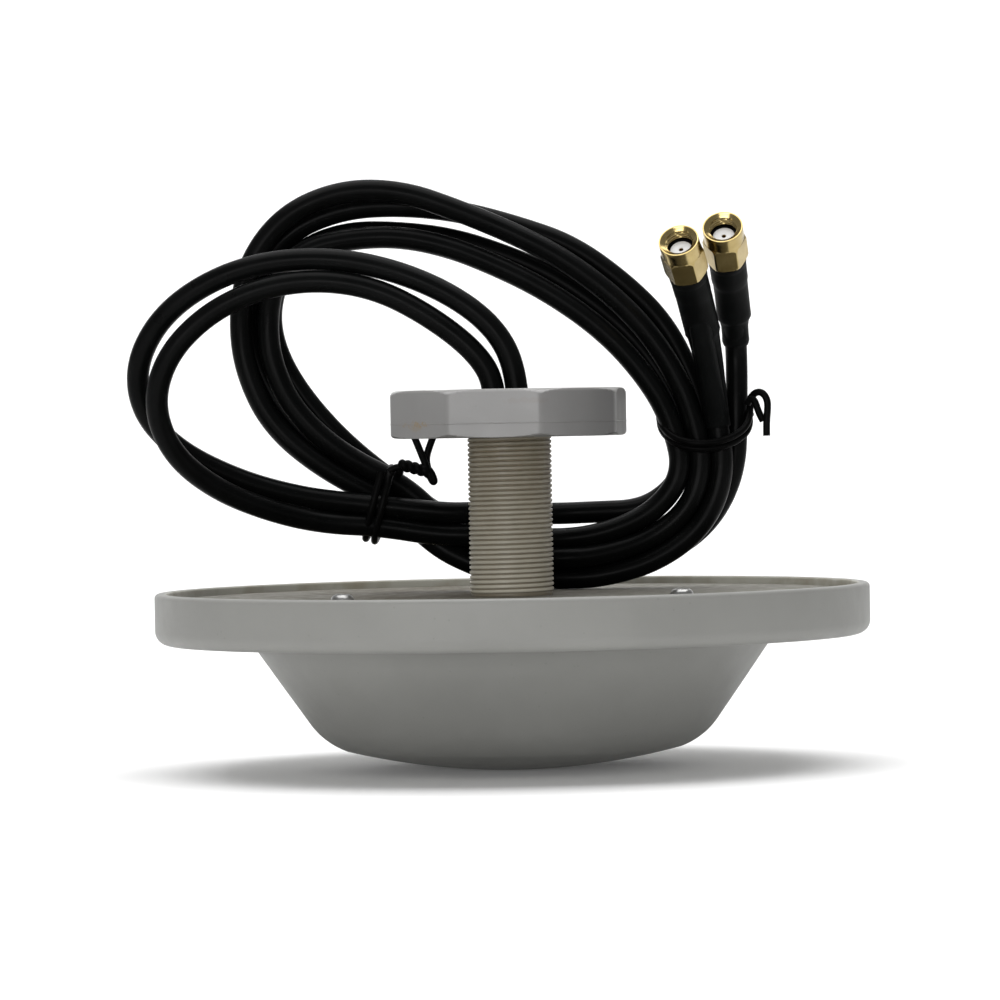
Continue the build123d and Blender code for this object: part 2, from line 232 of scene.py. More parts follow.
# Plate: dull rolled sheet with a broad brown blotch left of the stem
plate_finish = plated(
    "plate_metal",
    dark=(0.165, 0.158, 0.135),
    light=(0.22, 0.212, 0.185),
    rough=0.7,
    stretch=(14, 0.6, 1),
    lines=0.5,
    line_depth=0.003,
)
rust = plate_finish.blotch((-20.0, 20.0, plate_top), (24.0, 62.0, 9.0), 0.5, 8.0)
rust_strength = plate_finish.maths("MULTIPLY", rust, 0.7)
plate_finish.use(Base_Color=plate_finish.mix(rust_strength, plate_finish.base(), (0.085, 0.07, 0.042)))

# Nut: white plastic with a parting line, an orange-brown stain, a pinkish mark and specks, painted shade that
# darkens the faces at the front right, and a painted highlight along the top edge
nut_finish = moulded(
    "nut_plastic",
    dark=(0.212, 0.209, 0.205),
    light=(0.228, 0.225, 0.221),
    rough=0.34,
    grain=0.8,
    patch=12.0,
    speckle=0.10,
)
stain = nut_finish.maths(
    "MULTIPLY",
    nut_finish.blotch((-21.4, -16.2, 79.45), (3.4, 8.0, 0.6)),
    nut_finish.span(nut_finish.noise(0.7, 3.0), 0.4, 0.62),
)
drip = nut_finish.blotch((-21.2, -16.2, 78.7), (1.2, 8.0, 0.9))
pinkish = nut_finish.blotch((4.0, -25.0, 84.6), (4.5, 6.0, 0.7))
nut_height = nut_finish.part("Z")
from_parting = nut_finish.maths("ABSOLUTE", nut_finish.maths("SUBTRACT", nut_height, parting_height))
parting = nut_finish.maths(
    "MULTIPLY",
    nut_finish.span(from_parting, 0.04, 0.16, 0.22, 0.0),
    nut_finish.span(nut_finish.noise(2.4, 3.0), 0.3, 0.6),
)
# Painted shade: the faces at the front right grow darker towards the right, standing in for shade
painted_shade_front_right = nut_finish.maths(
    "MULTIPLY",
    nut_finish.span(nut_finish.part("X"), 6.0, 24.0, 0.0, 0.62),
    nut_finish.span(nut_finish.part("Y"), -14.8, -13.6, 1.0, 0.0),
)
# Painted highlight: the top edge grows paler towards the top face, standing in for light caught by the
# rounded edge
painted_highlight_top_edge = nut_finish.span(nut_height, nut_top - 0.8, nut_top - 0.1, 0.0, 0.55)
nut_base = nut_finish.base()
for strength, tint in (
    (parting, (0.11, 0.095, 0.08)),
    (nut_finish.maths("MULTIPLY", drip, 0.30), (0.23, 0.165, 0.09)),
    (nut_finish.maths("MULTIPLY", stain, 0.75), (0.24, 0.165, 0.08)),
    (nut_finish.maths("MULTIPLY", pinkish, 0.18), (0.19, 0.15, 0.135)),
    (painted_shade_front_right, (0.03, 0.03, 0.029)),
    (painted_highlight_top_edge, (0.40, 0.395, 0.385)),
):
    nut_base = nut_finish.mix(strength, nut_base, tint)
nut_finish.use(Base_Color=nut_base)

# Stem: ivory crests with brown dirt in the grooves, and painted light that makes the crests paler towards the
# plate
stem_finish = Finish("stem_plastic")
crest = stem_finish.span(stem_finish.from_axis(), 9.2, 9.66)
ivory = stem_finish.mix(
    stem_finish.span(stem_finish.noise(5.0, 3.0), 0.35, 0.65), (0.205, 0.182, 0.132), (0.245, 0.22, 0.166)
)
# Painted light: the paler ivory low on the stem stands in for light bounced off the plate, the darker top for
# shade under the nut
painted_bounce_ivory = stem_finish.mix(stem_finish.noise(4.0, 3.0), (0.50, 0.465, 0.375), (0.60, 0.565, 0.47))
painted_bounce_mask = stem_finish.span(stem_finish.part("Z"), 42.0, 72.0, 1.0, 0.0)
groove_dirt = stem_finish.mix(
    stem_finish.span(stem_finish.noise(3.0, 4.0), 0.3, 0.7), (0.085, 0.060, 0.028), (0.13, 0.10, 0.055)
)
stem_finish.use(
    Base_Color=stem_finish.mix(crest, groove_dirt, stem_finish.mix(painted_bounce_mask, ivory, painted_bounce_ivory)),
    Roughness=stem_finish.span(stem_finish.noise(1.2, 3.0), 0.3, 0.7, 0.34, 0.50),
)
stem_finish.bump((stem_finish.noise(0.4, 2.0), 0.012))

# The other metals
screw_finish = plated("screw_metal", dark=(0.27, 0.27, 0.265), light=(0.38, 0.38, 0.37), rough=0.32)
tin_finish = plated(
    "tin_plate", dark=(0.55, 0.55, 0.53), light=(0.70, 0.70, 0.68), rough=0.3, stretch=(1, 5, 1)
)
gold_finish = plated(
    "gold_plate",
    dark=(0.36, 0.275, 0.115),
    light=(0.46, 0.36, 0.165),
    rough=0.19,
    lines=0.5,
    line_depth=0.0006,
)

# The soft black materials and the white of the insulator
jacket_finish = moulded(
    "lead_jacket",
    dark=(0.0020, 0.0022, 0.0022),
    light=(0.0032, 0.0034, 0.0034),
    rough=0.31,
    grain=0.35,
    grain_depth=0.005,
    patch=8.0,
    specular=0.045,
)
rubber_finish = moulded(
    "black_rubber",
    dark=(0.003, 0.003, 0.003),
    light=(0.006, 0.006, 0.006),
    rough=0.6,
    grain=0.25,
    specular=0.03,
)
tie_finish = moulded(
    "tie_coating",
    dark=(0.0020, 0.0020, 0.0020),
    light=(0.0034, 0.0034, 0.0034),
    rough=0.38,
    grain=0.5,
    patch=4.0,
    specular=0.03,
)
sleeve_finish = moulded(
    "shrink_sleeve",
    dark=(0.0032, 0.0036, 0.0036),
    light=(0.0048, 0.0052, 0.0052),
    rough=0.46,
    grain=0.3,
    grain_depth=0.012,
    patch=6.0,
    specular=0.025,
)
insulator_finish = moulded(
    "white_insulator",
    dark=(0.78, 0.78, 0.77),
    light=(0.86, 0.86, 0.86),
    rough=0.35,
    grain=0.3,
    grain_depth=0.01,
    patch=2.0,
)

# Boards: green solder mask with paler lines of a regular grid
board_finish = Finish("board_laminate")
trace = board_finish.node(
    "ShaderNodeTexBrick",
    {
        "Vector": board_finish.vector(
            "ADD",
            board_finish.vector("MULTIPLY", board_finish.spot, (0, 1, 0)),
            board_finish.node("ShaderNodeCombineXYZ", {"X": board_finish.part("Z")}, "Vector"),
        ),
        "Scale": 0.18,
        "Mortar Size": 0.03,
        "Color1": (0, 0, 0, 1),
        "Color2": (0, 0, 0, 1),
        "Mortar": (1, 1, 1, 1),
    },
    "Color",
)
mask = board_finish.mix(
    board_finish.span(board_finish.noise(1.5, 4.0), 0.35, 0.65), (0.02, 0.10, 0.035), (0.03, 0.14, 0.05)
)
board_finish.use(
    Base_Color=board_finish.mix(trace, mask, (0.10, 0.26, 0.09)),
    Roughness=board_finish.span(board_finish.noise(3.0), 0.3, 0.7, 0.3, 0.42),
)
board_finish.bump((board_finish.noise(0.4, 2.0), 0.01))

finish_of_slot = {
    "radome_plastic": radome_finish,
    "plate_metal": plate_finish,
    "stem_plastic": stem_finish,
    "nut_plastic": nut_finish,
    "screw_metal": screw_finish,
    "board_laminate": board_finish,
    "tin_plate": tin_finish,
    "lead_jacket": jacket_finish,
    "black_rubber": rubber_finish,
    "tie_coating": tie_finish,
    "gold_plate": gold_finish,
    "white_insulator": insulator_finish,
    "shrink_sleeve": sleeve_finish,
}
for entry in frame["record"]["subparts"]:
    node_object = frame["nodes"][entry["node"]]
    node_object.data.materials.clear()
    node_object.data.materials.append(finish_of_slot[entry["material_slot"]].material)


# ---------------------------------------------------------------- shape helpers
def finished(obj, body, slot, *nodes):
    """Gives a piece its body, its finish and the CAD nodes that it stands for."""
    bpy.context.collection.objects.link(obj)
    obj.data.materials.append(finish_of_slot[slot].material)
    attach(obj, body)
    if nodes:
        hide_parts(*nodes)
    return obj


def solid(name, shells, body, slot, nodes=(), crease=32.0):
    """A mesh piece from one or more (vertices, faces) shells in millimetres."""
    form = bmesh.new()
    for vertices, faces in shells:
        made = [form.verts.new(Vector(v) * MM) for v in vertices]
        for face in faces:
            form.faces.new([made[i] for i in face])
    bmesh.ops.recalc_face_normals(form, faces=form.faces)
    mesh = bpy.data.meshes.new(name)
    form.to_mesh(mesh)
    form.free()
    mesh.shade_smooth()
    mesh.set_sharp_from_angle(angle=math.radians(crease))
    return finished(bpy.data.objects.new(name, mesh), body, slot, *nodes)


def bridge(rings):
    """Faces between neighbouring rings of vertex numbers, the last joined to the first.

    A face that shrinks to an edge at a pole is left out.
    """
    faces = []
    for low, high in zip(rings, rings[1:] + rings[:1]):
        for i in range(len(low)):
            j = (i + 1) % len(low)
            face = list(dict.fromkeys((low[i], low[j], high[j], high[i])))
            if len(face) > 2:
                faces.append(face)
    return faces


def lathe(outline, steps, place=None, shape=None):
    """A closed outline of (radius, height) turned about the local axis.

    steps is their number or a list of angles, and shape may change a radius by its height and angle.
    """
    angles = steps if isinstance(steps, list) else [2 * math.pi * i / steps for i in range(steps)]
    vertices = []
    rings = []
    for radius, height in outline:
        if radius == 0:
            rings.append([len(vertices)] * len(angles))
            vertices.append(Vector((0, 0, height)))
            continue
        rings.append(list(range(len(vertices), len(vertices) + len(angles))))
        for angle in angles:
            reach = shape(radius, height, angle) if shape else radius
            vertices.append(Vector((reach * math.cos(angle), reach * math.sin(angle), height)))
    if place:
        vertices = [place @ v for v in vertices]
    return vertices, bridge(rings)


def loft(loops):
    """A closed shell through loops of points of equal number, the last joined to the first."""
    vertices = [Vector(p) for loop in loops for p in loop]
    count = len(loops[0])
    rings = [list(range(i * count, (i + 1) * count)) for i in range(len(loops))]
    return vertices, bridge(rings)


def arc(start, middle, end, steps):
    """Points on the circle through three points, both ends included."""
    ax, ay = start
    bx, by = middle
    cx, cy = end
    twice = 2 * (ax * (by - cy) + bx * (cy - ay) + cx * (ay - by))
    a2, b2, c2 = ax * ax + ay * ay, bx * bx + by * by, cx * cx + cy * cy
    ox = (a2 * (by - cy) + b2 * (cy - ay) + c2 * (ay - by)) / twice
    oy = (a2 * (cx - bx) + b2 * (ax - cx) + c2 * (bx - ax)) / twice
    radius = math.hypot(ax - ox, ay - oy)
    first = math.atan2(ay - oy, ax - ox)
    sweep = (math.atan2(cy - oy, cx - ox) - first + math.pi) % (2 * math.pi) - math.pi
    return [
        (ox + radius * math.cos(angle), oy + radius * math.sin(angle))
        for angle in (first + sweep * i / steps for i in range(steps + 1))
    ]


def smooth_step(low, high, value):
    """0 at low, 1 at high and a smooth rise between. low may be the larger."""
    t = min(max((value - low) / (high - low), 0.0), 1.0)
    return t * t * (3 - 2 * t)


# ---------------------------------------------------------------- the two leads
bundle_y = 38.0
lead_radius = 2.63
mouths = {"left": Vector((40.2, 11.0, 121.35)), "right": Vector((50.7, 16.0, 124.45))}
mouth_ways = {
    "left": Vector((-0.195, -0.745, 0.638)).normalized(),
    "right": Vector((-0.11, -0.765, 0.632)).normalized(),
}
tail_start = 17.2
tail_end = 35.2
# Across and height of the bundle's middle round one turn: from the left tie along the bottom,
# up the right side past the right tie, over the top and down the left
turn_line = [
    (-28.3, 60.6), (-17, 54.9), (-9.5, 52.2), (0.5, 50.6), (10.5, 49.9), (21, 50.2),
    (33, 52.2), (42.3, 58.2), (46.9, 67.5), (45.9, 78.5), (40.8, 88.5), (33, 99.2),
    (24, 108), (12.5, 116.2), (1, 122), (-12, 126.8), (-25, 129.6), (-38, 129.8),
    (-50, 126), (-58, 117), (-60.3, 105.5), (-58.3, 94.5), (-52, 83), (-41.5, 71.5),
]
# Each strand's place in the bundle at some of those points: outwards from the middle, and depth.
# First the left lead's three passes, then the right lead's. The third passes leave past the right tie.
passes = 3
last_pass_stations = 10
lanes = {
    0: ((5.8, -5.2), (-5.5, 0), (-0.4, 0), (0.6, -5.2), (-4.4, 5.2), (0.7, 5.2)),
    1: ((1.7, -5.4), (-1.5, 0), (4.0, 0), (-3.8, -5.2), (-2.3, 5.2), (2.8, 5.2)),
    2: ((-0.9, -5.6), (0.3, -0.1), (5.6, -1.5), (-6.4, -4.2), (-3.0, 4.6), (2.6, 4.8)),
    3: ((-2.1, -4.8), (2.4, -1.9), (7.6, -2.6), (-7.6, -0.6), (-2.0, 3.2), (3.5, 3.6)),
    4: ((-1.6, -2.3), (2.9, -4.8), (7.5, -2.3), (-7.8, 2.6), (0, 2.6), (5.2, 2.6)),
    5: ((-2.3, -2.6), (2.6, -3.8), (7.6, -2.6), (-7.8, 2.6), (0, 2.6), (5.2, 2.6)),
    6: ((-4.4, -2.6), (1.0, -2.6), (6.2, -2.6), (-6.4, 2.6), (0.5, 2.6), (5.7, 2.6)),
    7: ((-5.7, -2.6), (0.0, -2.6), (5.2, -2.6), (-6.0, 2.6), (0.6, 2.6), (6.1, 2.6)),
    8: ((-6.1, -2.6), (-1.0, -2.6), (4.2, -2.6), (-5.0, 2.6), (1.0, 2.6), (6.8, 2.6)),
    9: ((-6.9, -2.6), (-1.7, -2.6), (3.6, -2.6), (-4.3, 2.6), (0.9, 2.6), (8.8, 2.0)),
    10: ((-6.0, -2.6), (0.0, -2.6), None, (-2.9, 2.6), (3.2, 2.6), None),
    11: ((-6.0, -2.6), (1.2, -2.6), None, (-2.3, 2.6), (5.6, 2.6), None),
    13: ((-6.2, -2.6), (2.3, -2.6), None, (-2.3, 2.6), (6.2, 2.6), None),
    14: ((-6.0, -2.6), (2.6, -2.6), None, (-2.8, 2.6), (4.6, 2.6), None),
    15: ((-5.4, -2.6), (3.4, -2.6), None, (-3.2, 2.6), (3.5, 2.6), None),
    16: ((-5.4, -2.6), (5.4, -2.6), None, (-4.2, 2.6), (2.2, 2.6), None),
    17: ((-6.0, -2.6), (5.7, -2.6), None, (-4.2, 2.6), (1.5, 2.6), None),
    18: ((-5.0, -2.6), (4.6, -2.6), None, (-4.4, 2.6), (0.9, 2.6), None),
    19: ((-3.6, -2.6), (3.6, -2.6), None, (-4.0, 2.6), (1.2, 2.6), None),
    20: ((-3.3, -2.6), (3.3, -2.6), None, (-3.6, 2.6), (1.6, 2.6), None),
    22: ((-0.9, -2.6), (5.4, -2.6), None, (-4.4, 2.6), (1.8, 2.6), None),
    23: ((-1.9, -2.2), (3.3, -2.2), None, (-4.2, 3.2), (1.0, 3.2), None),
}
# From the stem head up, over to the left and down into the left tie
loops = {
    "right": [
        (2.2, 0, 80), (2.3, 0, 91), (-3.2, 0, 102.4), (-16, 1, 111.5), (-33, 3, 117.5),
        (-50, 6, 118.7), (-66, 9.5, 115.5), (-80, 13.5, 107), (-87.3, 18, 95), (-86.2, 22, 83.4),
        (-78, 26, 74.2), (-64, 29, 67.0), (-50, 31.5, 62.9), (-39, 32.6, 61.3),
    ],
    "left": [
        (-3.1, 0, 80), (-2.9, 0, 88), (-7.0, 0, 95.8), (-17.4, 0.4, 104.3), (-30.2, 1.6, 111.3),
        (-44, 3.4, 113.6), (-57.5, 5.2, 111.8), (-70, 8, 106), (-79.5, 10, 96.5), (-83, 13, 85),
        (-79, 17, 73.5), (-69, 22, 65), (-56, 27, 59.5), (-44, 31.5, 56.6),
    ],
}


def outward(station):
    """The way out of the turn at a station, across and up."""
    before = turn_line[station - 1]
    after = turn_line[(station + 1) % len(turn_line)]
    run = Vector((after[0] - before[0], after[1] - before[1])).normalized()
    return run.y, -run.x


def lane(station, strand):
    """A strand's lane, between the nearest stations that give one."""
    count = len(turn_line)
    low = station
    while low not in lanes:
        low -= 1
    high = station
    while high % count not in lanes:
        high += 1
    start = Vector(lanes[low][strand])
    if high == low:
        return start
    end = Vector(lanes[high % count][strand if high < count else strand + 1])
    return start.lerp(end, (station - low) / (high - low))


def lead_points(word, first_strand):
    """A lead's control points from the stem to its connector."""
    points = [Vector(p) for p in loops[word]]
    for turn in range(passes):
        stations = last_pass_stations if turn == passes - 1 else len(turn_line)
        for station in range(stations):
            across, depth = lane(station, first_strand + turn)
            way_x, way_z = outward(station)
            x, z = turn_line[station]
            points.append(Vector((x + way_x * across, bundle_y + depth, z + way_z * across)))
    points.append(mouths[word] - mouth_ways[word] * tail_end)
    points.append(mouths[word] - mouth_ways[word] * tail_start)
    return points


def wire(name, points, radius, order=3, sides=6):
    """A round wire along one open NURBS spline, not yet placed in the scene."""
    data = bpy.data.curves.new(name, "CURVE")
    data.dimensions = "3D"
    spline = data.splines.new("NURBS")
    spline.points.add(len(points) - 1)
    for knot, point in zip(spline.points, points):
        knot.co = (*(Vector(point) * MM), 1.0)
    spline.order_u = order
    spline.use_endpoint_u = True
    data.resolution_u = 10
    data.bevel_depth = radius * MM
    data.bevel_resolution = sides
    data.use_fill_caps = True
    return bpy.data.objects.new(name, data)


def line_of(curve):
    """The points, in millimetres, that a curve object's own spline follows."""
    bare = curve.data.copy()
    bare.bevel_depth = 0.0
    probe = bpy.data.objects.new("probe", bare)
    bpy.context.collection.objects.link(probe)
    placed = probe.evaluated_get(bpy.context.evaluated_depsgraph_get())
    mesh = bpy.data.meshes.new_from_object(placed)
    points = [v.co / MM for v in mesh.vertices]
    bpy.data.objects.remove(probe)
    bpy.data.curves.remove(bare)
    bpy.data.meshes.remove(mesh)
    return points


lead_lines = {}
lead_nodes = {
    "left": ("lead_loop_left", "lead_tail_left", "lead_coil"),
    "right": ("lead_loop_right", "lead_tail_right"),
}
for word, first_strand in (("left", 0), ("right", passes)):
    curve = wire(f"lead_{word}", lead_points(word, first_strand), lead_radius)
    finished(curve, "antenna", "lead_jacket", *lead_nodes[word])
    lead_lines[word] = line_of(curve)[::-1]

# ---------------------------------------------------------------- radome
# The outside from the middle of the dome out and up to the rim, then the inside back to the middle
rim_radius = 82.5
radome_outline = [(0, 0), (4, 0), (8, 0)]
radome_outline += arc((10, 0), (26, 1.9), (39.2, 4.7), 16)
radome_outline += arc((39.2, 4.7), (43.5, 7.1), (46.7, 10.3), 12)[1:]
radome_outline += [(50.0, 15.0), (54.0, 20.7), (59.2, 28.2)]
radome_outline += arc((59.2, 28.2), (59.9, 29.3), (61.2, 29.8), 5)[1:]
radome_outline += [(66, 29.8), (73, 29.8), (79.3, 29.8)]
radome_outline += arc((79.3, 29.8), (81.56, 30.74), (rim_radius, 33.0), 10)[1:]
radome_outline += [(rim_radius, 36.0), (rim_radius, 40.6)]
radome_outline += arc((rim_radius, 40.6), (82.207, 41.307), (81.5, rim_top), 6)[1:]
radome_outline += arc((80.2, rim_top), (79.846, 41.454), (79.7, 41.1), 4)
radome_outline += [(79.7, plate_bottom), (77.5, plate_bottom), (77.5, 32.2), (57.9, 32.2), (57.2, 29.6)]
radome_outline += [(44.3, 11.4), (38.2, 7.4), (26.0, 4.3), (10, 2.4), (0, 2.4)]
radome_shells = [lathe(radome_outline, 256)]

# A boss for each of the plate's screws
boss_outline = [(1.5, 14.0), (3.5, 14.0), (3.5, plate_bottom), (1.5, plate_bottom)]
boss_circle = 44.5
screw_places = [
    (boss_circle * math.cos(math.radians(a)), boss_circle * math.sin(math.radians(a)))
    for a in (90, 210, 330)
]
radome_shells += [lathe(boss_outline, 32, Matrix.Translation((x, y, 0))) for x, y in screw_places]
solid("radome_shell", radome_shells, "antenna", "radome_plastic", ["radome"])

# ---------------------------------------------------------------- stem
thread_pitch = 1.13
thread_depth = 0.37
thread_bottom = 40.1
thread_top = 86.3
thread_run_out = 0.8
rows_per_turn = 10


def thread_height(height, angle):
    """1 on the crest of the helical thread, 0 at the bottom of its groove."""
    phase = (height / thread_pitch - angle / (2 * math.pi)) % 1.0
    return 1 - smooth_step(0.42, 0.88, abs(phase - 0.5) * 2)


def stem_shape(radius, height, angle):
    """The stem's outside with its thread, which runs out at both ends."""
    if radius < stem_radius:
        return radius
    fade = smooth_step(thread_bottom, thread_bottom + thread_run_out, height)
    fade *= smooth_step(thread_top, thread_top - thread_run_out, height)
    return radius - thread_depth * (1 - thread_height(height, angle) * fade)


thread_length = thread_top - thread_bottom
stem_rows = int(thread_length / thread_pitch * rows_per_turn)
stem_outline = [(8.0, 30.6), (8.0, plate_top), (9.3, plate_top)]
stem_outline += [
    (stem_radius, thread_bottom + thread_length * row / stem_rows) for row in range(stem_rows + 1)
]
stem_outline += [(8.9, 86.8), (6.9, 86.8), (6.5, 86.4), (6.5, 30.6)]
stem_shell = lathe(stem_outline, 96, shape=stem_shape)
solid("stem_thread", [stem_shell], "antenna", "stem_plastic", ["threaded_stem"], crease=50)

# ---------------------------------------------------------------- fixing nut
nut_sides = 8
nut_corner = 28.4
nut_round = 2.4
nut_turn = math.radians(15.0)
nut_face = 25.2
top_turning = 2.0
bottom_turning = 1.4
nut_bore = 9.8
nut_groove = 0.4
# The sides stand this far inside the octagon, so that the parting seam stays within it
nut_inset = 0.08
seam_ridge = 0.05
half_side = math.pi / nut_sides
nut_flat = nut_corner * math.cos(half_side)
round_centre = (nut_flat - nut_round) / math.cos(half_side)
round_half = math.atan2(
    nut_round * math.sin(half_side), round_centre + nut_round * math.cos(half_side)
)
round_steps = 4
side_steps = 16
nut_angles = []
for side in range(nut_sides):
    corner = nut_turn + 2 * half_side * side
    nut_angles += [corner + round_half * i / round_steps for i in range(-round_steps, round_steps)]
    plain = 2 * half_side - 2 * round_half
    nut_angles += [corner + round_half + plain * i / side_steps for i in range(side_steps)]


def nut_side(angle):
    """The outline's radius: an octagon with its corners rounded."""
    from_corner = (angle - nut_turn + half_side) % (2 * half_side) - half_side
    if abs(from_corner) < round_half:
        rest = nut_round**2 - (round_centre * math.sin(from_corner)) ** 2
        return round_centre * math.cos(from_corner) + math.sqrt(rest)
    return nut_flat / math.cos(half_side - abs(from_corner))


def turned_edge(distance, height):
    """The radius that turning leaves at a distance from the top or bottom face."""
    t = min(distance / height, 1.0)
    return nut_face + (nut_corner - nut_face) * math.sqrt(1 - (1 - t) ** 2)


def nut_shape(radius, height, angle):
    """The thread in the bore, and outside it the octagon with its turned edges and its parting seam."""
    if radius == nut_bore:
        phase = (height / thread_pitch - angle / (2 * math.pi)) % 1.0
        fade = smooth_step(nut_bottom + 0.8, nut_bottom + 1.6, height)
        fade *= smooth_step(nut_top - 0.8, nut_top - 1.6, height)
        return radius + nut_groove * fade * smooth_step(0.4, 0.85, abs(phase - 0.5) * 2)
    turned = min(turned_edge(nut_top - height, top_turning), turned_edge(height - nut_bottom, bottom_turning))
    seam = seam_ridge * (1 - smooth_step(0.06, 0.16, abs(height - parting_height)))
    return min(radius, nut_side(angle) - nut_inset + seam, turned)


nut_rises = [bottom_turning * (1 - math.cos(math.radians(9 * i))) for i in range(11)]
nut_falls = [top_turning * (1 - math.cos(math.radians(7.5 * i))) for i in range(13)]
nut_outline = [(22.0, nut_bottom), (24.6, nut_bottom)]
nut_outline += [(nut_corner, nut_bottom + rise) for rise in nut_rises]
nut_outline += [(nut_corner, parting_height + step) for step in (-0.5, -0.16, -0.06, 0.06, 0.16, 0.5)]
nut_outline += [(nut_corner, 82.0), (nut_corner, 84.0)]
nut_outline += [(nut_corner, nut_top - fall) for fall in reversed(nut_falls)]
nut_outline += [(24.6, nut_top), (22.0, nut_top), (12.0, nut_top), (10.7, nut_top), (9.9, nut_top - 0.8)]
bore_length = nut_top - nut_bottom - 1.8
nut_outline += [(nut_bore, nut_top - 0.9 - bore_length * i / 80) for i in range(81)]
nut_outline += [(9.9, nut_bottom + 0.8), (10.7, nut_bottom), (12.0, nut_bottom)]
nut_shell = lathe(nut_outline, nut_angles, shape=nut_shape)
solid("fixing_nut_body", [nut_shell], "nut", "nut_plastic", ["fixing_nut"], crease=20)

# ---------------------------------------------------------------- screws
head_outline = [(0, 41.3)]
head_outline += arc((1.0, 41.3), (2.1, 41.02), (2.62, 40.2), 8)
head_outline += [(2.7, 40.0), (2.7, plate_top), (1.4, plate_top), (1.4, 30.0), (0, 29.6)]
screw_shells = [lathe(head_outline, 48, Matrix.Translation((x, y, 0))) for x, y in screw_places]
screws = solid("pan_screws", screw_shells, "antenna", "screw_metal", ["plate_screws"])

# The cross recesses are cut out, each turned its own way
recess_length, recess_width, recess_height = 3.0, 0.62, 1.8
recess_middle = 41.5
blade = Matrix.Diagonal((recess_length * MM, recess_width * MM, recess_height * MM, 1))
cross = bmesh.new()
for index, (x, y) in enumerate(screw_places):
    for quarter in (0, 90):
        swing = Matrix.Rotation(math.radians(20 + 35 * index + quarter), 4, "Z")
        place = Matrix.Translation((x * MM, y * MM, recess_middle * MM)) @ swing
        bmesh.ops.create_cube(cross, size=1.0, matrix=place @ blade)
cross_mesh = bpy.data.meshes.new("cross_cutter")
cross.to_mesh(cross_mesh)
cross.free()
cutter = bpy.data.objects.new("cross_cutter", cross_mesh)
bpy.context.collection.objects.link(cutter)
cut = screws.modifiers.new("cross", "BOOLEAN")
cut.operation = "DIFFERENCE"
cut.object = cutter
cut.solver = "EXACT"
cut.use_self = True
cut_mesh = bpy.data.meshes.new_from_object(screws.evaluated_get(bpy.context.evaluated_depsgraph_get()))
screws.modifiers.clear()
screws.data = cut_mesh
bpy.data.objects.remove(cutter)

# ---------------------------------------------------------------- connectors
# Heights are below zero behind the connector's mouth
collar_radius = 4.75
flat_reach = 4.55
corner_reach = 5.2
hexagon_depth = 3.7
coupling_bore = 3.17
coupling_pitch = 0.706
hex_turn = {"left": 29.0, "right": 32.0}


def coupling_shape(radius, height, angle, flat_angle):
    """The hexagon on the outside and the helical thread inside, from the plain turned radius."""
    depth = -height
    if radius > 4.4 and depth > hexagon_depth:
        from_flat = (angle - flat_angle + math.pi / 6) % (math.pi / 3) - math.pi / 6
        flat = flat_reach + 0.6 * (1 - smooth_step(hexagon_depth, 4.25, depth))
        return min(radius, flat / math.cos(from_flat))
    if radius == coupling_bore:
        phase = (depth / coupling_pitch - angle / (2 * math.pi)) % 1.0
        return radius + 0.26 * smooth_step(0.35, 0.85, abs(phase - 0.5) * 2)
    return radius


coupling_outline = [(4.36, -0.06), (4.42, 0.0), (4.66, 0.0)]
coupling_outline += arc((4.66, 0.0), (4.724, -0.026), (collar_radius, -0.09), 3)[1:]
coupling_outline += [(collar_radius, -1.5), (collar_radius, -3.0), (collar_radius, -3.75)]
shoulder = corner_reach - collar_radius
coupling_outline += [(collar_radius + shoulder * i / 8, -3.8 - 0.9 * i / 8) for i in range(9)]
coupling_outline += [(corner_reach, -4.8 - 5.5 * i / 12) for i in range(13)]
coupling_outline += [(5.12, -10.5), (4.96, -10.7), (4.7, -10.87), (4.5, -10.9), (2.7, -10.9), (2.7, -7.0)]
coupling_outline += [(3.4, -7.0), (3.4, -3.1)]
coupling_outline += [(coupling_bore, 0.0625 * i - 3.025) for i in range(35)]
coupling_outline += [(3.5, -0.72), (4.16, -0.2)]

body_outline = [(2.74, -4.0), (2.8, -4.0), (2.82, -4.1), (2.82, -4.3), (3.2, -4.3), (3.2, -5.2)]
body_outline += [(2.6, -5.2), (2.6, -11.2), (3.4, -11.2), (3.4, -12.2), (2.0, -12.2), (2.0, -17.0)]
body_outline += [(1.5, -17.0), (1.5, -9.1), (2.52, -9.1), (2.52, -5.0), (2.74, -5.0)]

dielectric_outline = [(0.52, -3.3), (0.62, -3.22), (1.6, -3.2), (2.48, -3.2), (2.6, -3.32), (2.6, -4.98)]
dielectric_outline += [(2.5, -4.98), (2.5, -9.0), (0.64, -9.0), (0.64, -4.0), (0.52, -3.9)]

contact_outline = [(0.42, -3.55), (0.5, -3.4), (0.62, -3.45), (0.62, -16.0), (0, -16.0), (0, -7.5)]
contact_outline += [(0.42, -7.5)]

gasket_outline = arc((2.61, -3.3), (2.95, -3.08), (3.36, -3.4), 8)
gasket_outline += [(3.36, -4.28), (2.84, -4.28), (2.84, -3.9), (2.61, -3.9)]

